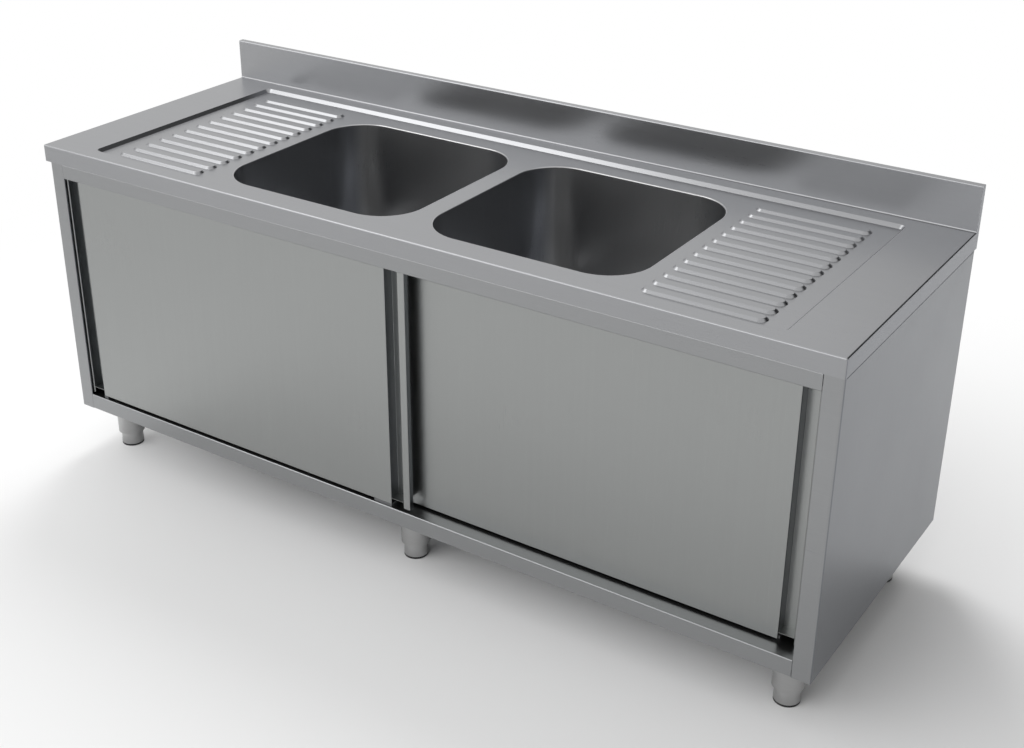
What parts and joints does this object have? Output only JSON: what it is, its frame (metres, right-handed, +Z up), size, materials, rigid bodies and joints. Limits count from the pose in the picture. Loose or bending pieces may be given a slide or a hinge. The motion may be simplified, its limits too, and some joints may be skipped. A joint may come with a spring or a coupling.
{
  "type": "kitchen sink unit",
  "caption": "Stainless catering sink unit: pressed bowls and ribbed drainers in a folded worktop with an upstand, over a cabinet with sliding doors and levelling legs",
  "frame": {"origin": "on the floor, under the middle of the worktop", "axes": "X left to right along the front, Y front to back, Z up"},
  "size_m": [2, 0.7, 0.915],
  "materials": {
    "satin_steel": "satin, fine grain left to right",
    "waste_steel": "polished",
    "panel_steel": "satin",
    "door_steel": "satin",
    "fitting_steel": "plain folded sheet and zinc-plated fixings",
    "leg_steel": "satin tube",
    "rubber": "matt black",
    "nylon": "moulded, matt",
    "damping": "matt sheet"
  },
  "bodies": {
    "cabinet": {"worktop": "satin_steel", "upstand_end_caps": "satin_steel", "left_bowl": "satin_steel", "right_bowl": "satin_steel", "left_waste_flange": "waste_steel", "right_waste_flange": "waste_steel", "waste_seals": "rubber", "waste_nuts": "nylon", "worktop_stiffeners": "fitting_steel", "left_side_panel": "panel_steel", "right_side_panel": "panel_steel", "back_panel": "panel_steel", "top_rail": "panel_steel", "bottom_rail": "panel_steel", "front_track": "fitting_steel", "rear_track": "fitting_steel", "track_screws": "fitting_steel", "track_stops": "rubber", "bottom_shelf": "panel_steel", "base_channels": "fitting_steel", "shelf_stiffeners": "fitting_steel", "door_guides": "nylon", "guide_screws": "fitting_steel", "leg_plates": "fitting_steel", "leg_tubes": "leg_steel", "leg_inserts": "nylon", "leg_bolts": "fitting_steel"},
    "left_door": {"left_door_front": "door_steel", "left_door_back": "door_steel", "left_door_damping_pad": "damping", "left_door_channel_ends": "door_steel", "left_door_hangers": "fitting_steel", "left_door_hanger_screws": "fitting_steel", "left_door_axles": "fitting_steel"},
    "left_door_left_roller": {"left_door_left_roller": "nylon"},
    "left_door_right_roller": {"left_door_right_roller": "nylon"},
    "right_door": {"right_door_front": "door_steel", "right_door_back": "door_steel", "right_door_damping_pad": "damping", "right_door_channel_ends": "door_steel", "right_door_hangers": "fitting_steel", "right_door_hanger_screws": "fitting_steel", "right_door_axles": "fitting_steel"},
    "right_door_left_roller": {"right_door_left_roller": "nylon"},
    "right_door_right_roller": {"right_door_right_roller": "nylon"},
    "foot_front_left": {"foot_front_left": "leg_steel", "pad_front_left": "rubber"},
    "foot_front_middle": {"foot_front_middle": "leg_steel", "pad_front_middle": "rubber"},
    "foot_front_right": {"foot_front_right": "leg_steel", "pad_front_right": "rubber"},
    "foot_back_left": {"foot_back_left": "leg_steel", "pad_back_left": "rubber"},
    "foot_back_middle": {"foot_back_middle": "leg_steel", "pad_back_middle": "rubber"},
    "foot_back_right": {"foot_back_right": "leg_steel", "pad_back_right": "rubber"}
  },
  "joints": [
    {"name": "left_door_slide", "type": "slide", "parent": "cabinet", "child": "left_door", "axis": [1, 0, 0], "range_m": [0, 0.9]},
    {"name": "right_door_slide", "type": "slide", "parent": "cabinet", "child": "right_door", "axis": [-1, 0, 0], "range_m": [0, 0.9]},
    {"name": "left_door_left_roller_spin", "type": "hinge", "parent": "left_door", "child": "left_door_left_roller", "pos_m": [-0.836, -0.3315, 0.7613], "axis": [0, 1, 0], "range_deg": [-1, 5170]},
    {"name": "left_door_right_roller_spin", "type": "hinge", "parent": "left_door", "child": "left_door_right_roller", "pos_m": [-0.066, -0.3315, 0.7613], "axis": [0, 1, 0], "range_deg": [-1, 5170]},
    {"name": "right_door_left_roller_spin", "type": "hinge", "parent": "right_door", "child": "right_door_left_roller", "pos_m": [0.073, -0.2995, 0.7613], "axis": [0, 1, 0], "range_deg": [-5170, 1]},
    {"name": "right_door_right_roller_spin", "type": "hinge", "parent": "right_door", "child": "right_door_right_roller", "pos_m": [0.843, -0.2995, 0.7613], "axis": [0, 1, 0], "range_deg": [-5170, 1]},
    {"name": "foot_front_left_height", "type": "slide", "parent": "cabinet", "child": "foot_front_left", "axis": [0, 0, -1], "range_m": [0, 0.05]},
    {"name": "foot_front_middle_height", "type": "slide", "parent": "cabinet", "child": "foot_front_middle", "axis": [0, 0, -1], "range_m": [0, 0.05]},
    {"name": "foot_front_right_height", "type": "slide", "parent": "cabinet", "child": "foot_front_right", "axis": [0, 0, -1], "range_m": [0, 0.05]},
    {"name": "foot_back_left_height", "type": "slide", "parent": "cabinet", "child": "foot_back_left", "axis": [0, 0, -1], "range_m": [0, 0.05]},
    {"name": "foot_back_middle_height", "type": "slide", "parent": "cabinet", "child": "foot_back_middle", "axis": [0, 0, -1], "range_m": [0, 0.05]},
    {"name": "foot_back_right_height", "type": "slide", "parent": "cabinet", "child": "foot_back_right", "axis": [0, 0, -1], "range_m": [0, 0.05]}
  ],
  "couplings": [
    {"joint": "left_door_left_roller_spin", "follows": "left_door_slide", "rad_per_m": 100},
    {"joint": "left_door_right_roller_spin", "follows": "left_door_slide", "rad_per_m": 100},
    {"joint": "right_door_left_roller_spin", "follows": "right_door_slide", "rad_per_m": -100},
    {"joint": "right_door_right_roller_spin", "follows": "right_door_slide", "rad_per_m": -100}
  ]
}
